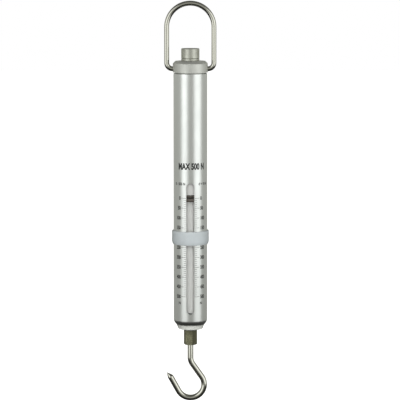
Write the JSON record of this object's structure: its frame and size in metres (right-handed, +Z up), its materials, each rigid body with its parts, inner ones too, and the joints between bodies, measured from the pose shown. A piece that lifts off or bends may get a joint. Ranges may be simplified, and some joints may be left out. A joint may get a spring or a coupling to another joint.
{
  "type": "hanging spring scale",
  "caption": "Tubular hanging spring scale with a wire bail, tare knob, slotted aluminium casing, drag ring, pull rod and swivelling load hook.",
  "frame": {"origin": "inside top of the bail's arch, where the scale hangs", "axes": "+Z up along the casing, -Y out of the reading slot, +X to the reader's right across the bail's pivots"},
  "size_m": [0.0522, 0.0374, 0.4066],
  "materials": {
    "polished_wire": "polished stainless wire",
    "satin_aluminium": "satin clear-anodised aluminium tube",
    "turned_aluminium": "turned aluminium",
    "steel": "plain machined steel",
    "spring_steel": "drawn spring steel",
    "bronzed_steel": "dark olive treated steel",
    "light_plastic": "matte light bluish-grey plastic",
    "white_plastic": "near-white moulded plastic",
    "dark_plastic": "dark brown-black plastic",
    "black_rubber": "black rubber",
    "rod_aluminium": "light satin aluminium",
    "brass": "turned brass"
  },
  "bodies": {
    "bail": {"bail": "polished_wire"},
    "casing": {"tube": "satin_aluminium", "top_cap": "turned_aluminium", "cap_set_screw": "steel", "tare_friction_washer": "turned_aluminium", "tare_guide_pin": "steel", "bottom_bush": "white_plastic", "buffer_ring": "black_rubber"},
    "tare_screw": {"tare_knob": "turned_aluminium", "knob_grub_screw": "steel", "tare_spindle": "brass", "spindle_thrust_washer": "steel", "spindle_circlip": "spring_steel"},
    "spring_carrier": {"spring_upper_plug": "steel", "main_spring": "spring_steel"},
    "load_train": {"spring_lower_plug": "rod_aluminium", "pointer_piston": "dark_plastic", "index_ring": "black_rubber", "pull_rod": "rod_aluminium", "rod_cross_pin": "steel", "hex_coupling": "bronzed_steel"},
    "hook": {"hook": "polished_wire", "hook_swivel_nut": "steel", "hook_thrust_washer": "brass"},
    "drag_ring": {"drag_ring": "light_plastic", "drag_ring_pusher": "light_plastic"}
  },
  "joints": [
    {"name": "bail_swing", "type": "hinge", "parent": "bail", "child": "casing", "pos_m": [0, 0, -0.0629], "axis": [1, 0, 0], "range_deg": [-160, 160]},
    {"name": "tare_turn", "type": "hinge", "parent": "casing", "child": "tare_screw", "pos_m": [0, 0, -0.0424], "axis": [0, 0, 1], "range_deg": [0, 1440]},
    {"name": "tare_travel", "type": "slide", "parent": "casing", "child": "spring_carrier", "axis": [0, 0, -1], "range_m": [0, 0.005]},
    {"name": "load_travel", "type": "slide", "parent": "spring_carrier", "child": "load_train", "axis": [0, 0, -1], "range_m": [0, 0.109], "stiffness_N_per_m": 5000, "springref_m": -0.002, "deforming": ["main_spring"]},
    {"name": "hook_swivel", "type": "hinge", "parent": "load_train", "child": "hook", "pos_m": [0, 0, -0.3402], "axis": [0, 0, 1], "continuous": true},
    {"name": "drag_ring_slide", "type": "slide", "parent": "casing", "child": "drag_ring", "axis": [0, 0, 1], "range_m": [-0.07, 0.034]}
  ],
  "couplings": [
    {"joint": "tare_turn", "follows": "tare_travel", "rad_per_m": 5026.5}
  ]
}
